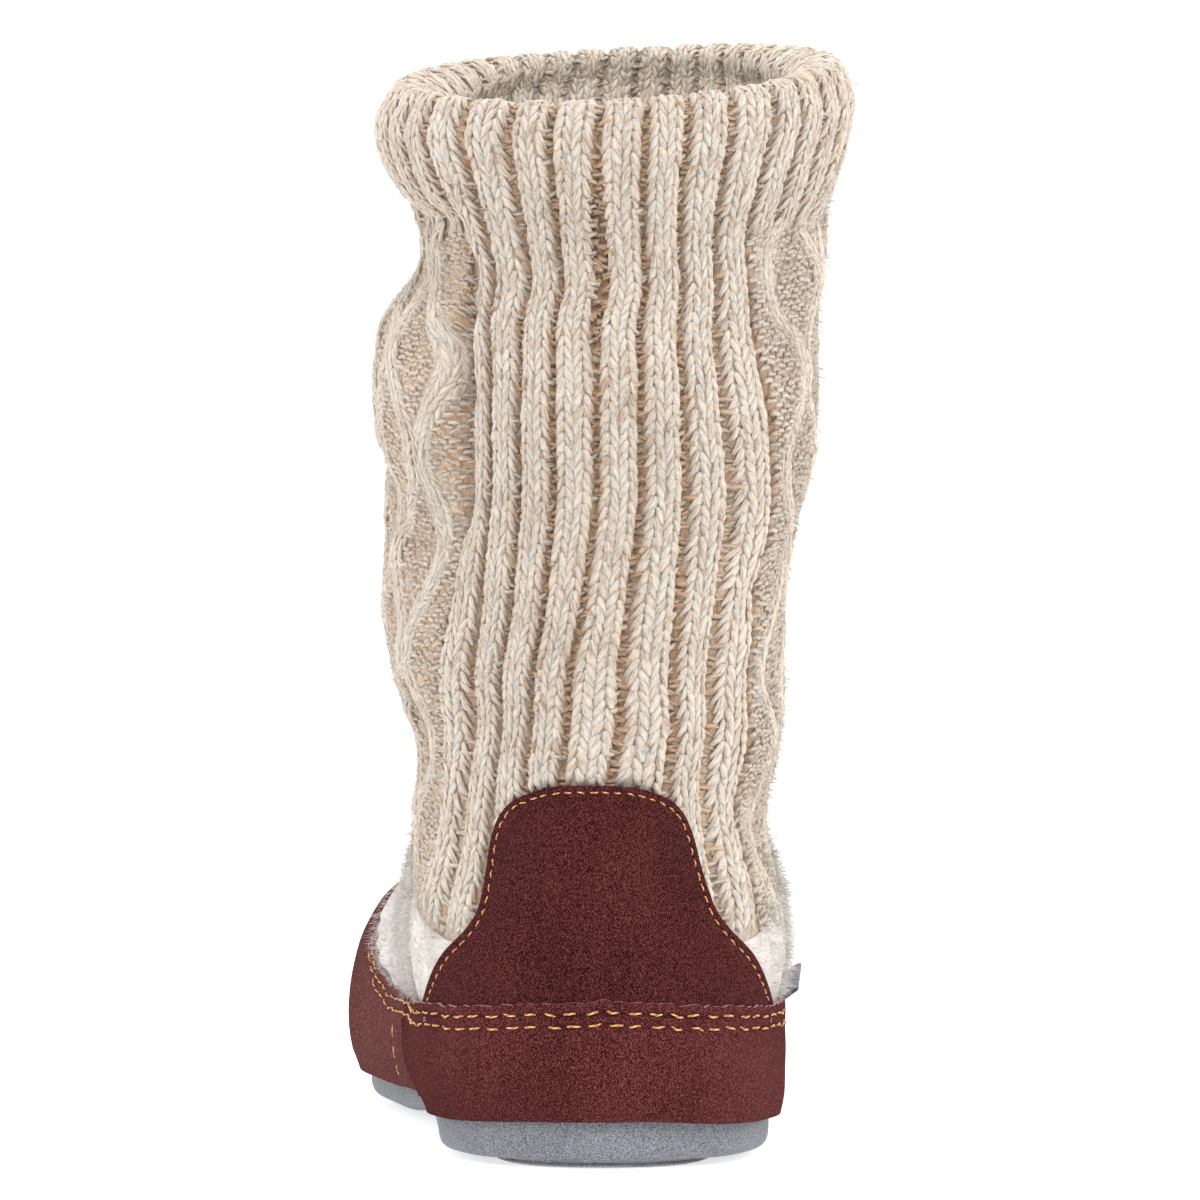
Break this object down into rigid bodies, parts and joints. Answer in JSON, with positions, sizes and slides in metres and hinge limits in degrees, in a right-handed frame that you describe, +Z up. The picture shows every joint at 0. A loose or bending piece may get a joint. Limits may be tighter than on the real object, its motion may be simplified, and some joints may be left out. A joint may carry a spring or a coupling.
{
  "type": "slipper boot",
  "caption": "Left slipper boot with a slouchy cable-knit shaft, rolled collar, fleece foot, suede heel counter, foxing and toe cap, and a rubber sole.",
  "frame": {"origin": "middle of the heel pad's flat spot on the ground", "axes": "+Y from the heel to the toe, +X to the wearer's inner side, +Z up the shaft"},
  "size_m": [0.1167, 0.2658, 0.2513],
  "materials": {
    "rubber": "moulded, fine pebble grain, matt",
    "insole": "short fleece pile",
    "fleece": "brushed wool fleece",
    "knit": "heathered wool, chunky cable knit",
    "suede": "suede nap, raw cut edges",
    "ribbon": "woven ribbon, bare"
  },
  "bodies": {
    "root": {"outsole": "rubber", "footbed": "insole", "upper": "fleece", "shaft": "knit", "heel_counter": "suede", "foxing_back": "suede", "foxing_front": "suede", "side_label": "ribbon"}
  },
  "joints": []
}
